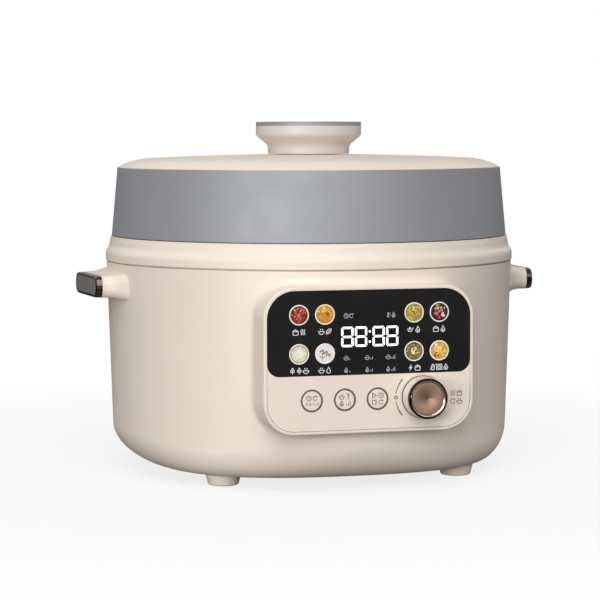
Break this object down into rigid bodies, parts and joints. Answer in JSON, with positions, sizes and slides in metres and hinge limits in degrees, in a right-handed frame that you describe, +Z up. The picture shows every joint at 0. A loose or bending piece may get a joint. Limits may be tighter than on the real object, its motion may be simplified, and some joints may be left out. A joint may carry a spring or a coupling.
{
  "type": "electric pressure cooker",
  "caption": "Round electric pressure cooker with lift-off lid, turning lid knob that throws latches, removable pot, side handles, front panel with keys, dial and display.",
  "frame": {"origin": "on the surface the cooker stands on, at the centre of its bounding box, within 3 mm of the pot's axis", "axes": "+Z up, control panel towards -Y, carrying handles towards +X and -X"},
  "size_m": [0.338, 0.3353, 0.2532],
  "materials": {
    "cream_plastic": "satin warm cream moulded plastic",
    "grey_band": "satin cool grey paint",
    "knob_grey": "satin grey",
    "dark_chrome": "smoked chrome",
    "end_grey": "fine satin dark grey",
    "bronze": "spun bronze anodised",
    "black_window": "black gloss panel with printed and lit graphics",
    "key_cream": "satin cream key",
    "key_ring": "dark grey-brown ring",
    "steel": "brushed stainless",
    "zinc_steel": "zinc-plated sheet",
    "aluminium": "machined and cast",
    "pot_coating": "non-stick coating outside grey, inside dark",
    "element_metal": "heat-tinted sheath",
    "screw_steel": "zinc plated",
    "rubber_pad": "matte grey rubber",
    "silicone": "translucent white silicone",
    "brass_pin": "nickel-free brass",
    "black_plastic": "black moulded plastic",
    "white_plastic": "white moulded plastic",
    "board_green": "coated circuit board",
    "valve_red": "red moulded tip"
  },
  "bodies": {
    "base": {"housing_shell": "cream_plastic", "housing_top_ring": "cream_plastic", "lock_ring": "steel", "inner_liner": "zinc_steel", "base_cover": "cream_plastic", "feet": "cream_plastic", "foot_pads": "rubber_pad", "handle_left": "cream_plastic", "handle_right": "cream_plastic", "handle_trim_left": "dark_chrome", "handle_trim_right": "dark_chrome", "handle_end_plate_left": "end_grey", "handle_end_plate_right": "end_grey", "housing_screws": "screw_steel", "inlet_housing": "black_plastic", "inlet_pins": "brass_pin", "panel_fascia": "cream_plastic", "display_window": "black_window", "display_board": "board_green", "light_shade": "white_plastic", "tact_switches": "black_plastic", "button_rings": "key_ring", "dial_encoder": "black_plastic", "heating_plate": "aluminium", "heating_element": "element_metal", "sensor_guide": "steel", "sensor_spring": "screw_steel", "thermal_fuse": "white_plastic", "power_board": "board_green", "power_transformer": "zinc_steel", "filter_capacitors": "black_plastic"},
    "pot": {"inner_pot": "pot_coating"},
    "lid": {"lid_top_cover": "cream_plastic", "vent_grille": "cream_plastic", "lid_band": "grey_band", "lid_chassis": "white_plastic", "lid_inner_plate": "steel", "lid_seal_ring": "silicone", "lid_screws": "screw_steel", "vent_nozzle": "steel", "knob_bush": "white_plastic", "latch_guides": "white_plastic"},
    "knob": {"lid_knob": "cream_plastic", "lid_knob_cap": "knob_grey", "lid_knob_shaft": "steel", "cam_disc": "steel"},
    "latch_bolt_1": {"latch_1": "steel"},
    "latch_bolt_2": {"latch_2": "steel"},
    "latch_bolt_3": {"latch_3": "steel"},
    "latch_bolt_4": {"latch_4": "steel"},
    "pressure_weight": {"pressure_weight": "black_plastic"},
    "float_valve": {"float_valve_pin": "valve_red"},
    "dial": {"dial_skirt": "cream_plastic", "dial_rim": "dark_chrome", "dial_face": "bronze", "dial_shaft": "steel"},
    "key_left": {"button_left": "key_cream"},
    "key_middle": {"button_middle": "key_cream"},
    "key_right": {"button_right": "key_cream"},
    "sensor": {"sensor_cap": "aluminium"}
  },
  "joints": [
    {"name": "pot_lift", "type": "slide", "parent": "base", "child": "pot", "axis": [0, 0, 1], "range_m": [0, 0.15]},
    {"name": "lid_lift", "type": "slide", "parent": "pot", "child": "lid", "axis": [0, 0, 1], "range_m": [0, 0.12]},
    {"name": "knob_turn", "type": "hinge", "parent": "lid", "child": "knob", "pos_m": [0, 0, 0.25], "axis": [0, 0, 1], "range_deg": [0, 45]},
    {"name": "latch_1_slide", "type": "slide", "parent": "lid", "child": "latch_bolt_1", "axis": [0.7071, 0.7071, 0], "range_m": [0, 0.0081]},
    {"name": "latch_2_slide", "type": "slide", "parent": "lid", "child": "latch_bolt_2", "axis": [-0.7071, 0.7071, 0], "range_m": [0, 0.0081]},
    {"name": "latch_3_slide", "type": "slide", "parent": "lid", "child": "latch_bolt_3", "axis": [-0.7071, -0.7071, 0], "range_m": [0, 0.0081]},
    {"name": "latch_4_slide", "type": "slide", "parent": "lid", "child": "latch_bolt_4", "axis": [0.7071, -0.7071, 0], "range_m": [0, 0.0081]},
    {"name": "pressure_weight_lift", "type": "slide", "parent": "lid", "child": "pressure_weight", "axis": [0, 0, 1], "range_m": [0, 0.003]},
    {"name": "float_valve_rise", "type": "slide", "parent": "lid", "child": "float_valve", "axis": [0, 0, 1], "range_m": [0, 0.002]},
    {"name": "dial_turn", "type": "hinge", "parent": "base", "child": "dial", "pos_m": [0.0372, -0.16, 0.066], "axis": [0, -1, 0], "continuous": true},
    {"name": "key_left_press", "type": "slide", "parent": "base", "child": "key_left", "axis": [0, 1, 0], "range_m": [0, 0.0008], "stiffness_N_per_m": 400},
    {"name": "key_middle_press", "type": "slide", "parent": "base", "child": "key_middle", "axis": [0, 1, 0], "range_m": [0, 0.0008], "stiffness_N_per_m": 400},
    {"name": "key_right_press", "type": "slide", "parent": "base", "child": "key_right", "axis": [0, 1, 0], "range_m": [0, 0.0008], "stiffness_N_per_m": 400},
    {"name": "sensor_press", "type": "slide", "parent": "base", "child": "sensor", "axis": [0, 0, -1], "range_m": [0, 0.0015], "stiffness_N_per_m": 500, "deforming": ["sensor_spring"]}
  ],
  "couplings": [
    {"joint": "latch_1_slide", "follows": "knob_turn", "m_per_rad": 0.010186},
    {"joint": "latch_2_slide", "follows": "knob_turn", "m_per_rad": 0.010186},
    {"joint": "latch_3_slide", "follows": "knob_turn", "m_per_rad": 0.010186},
    {"joint": "latch_4_slide", "follows": "knob_turn", "m_per_rad": 0.010186}
  ]
}
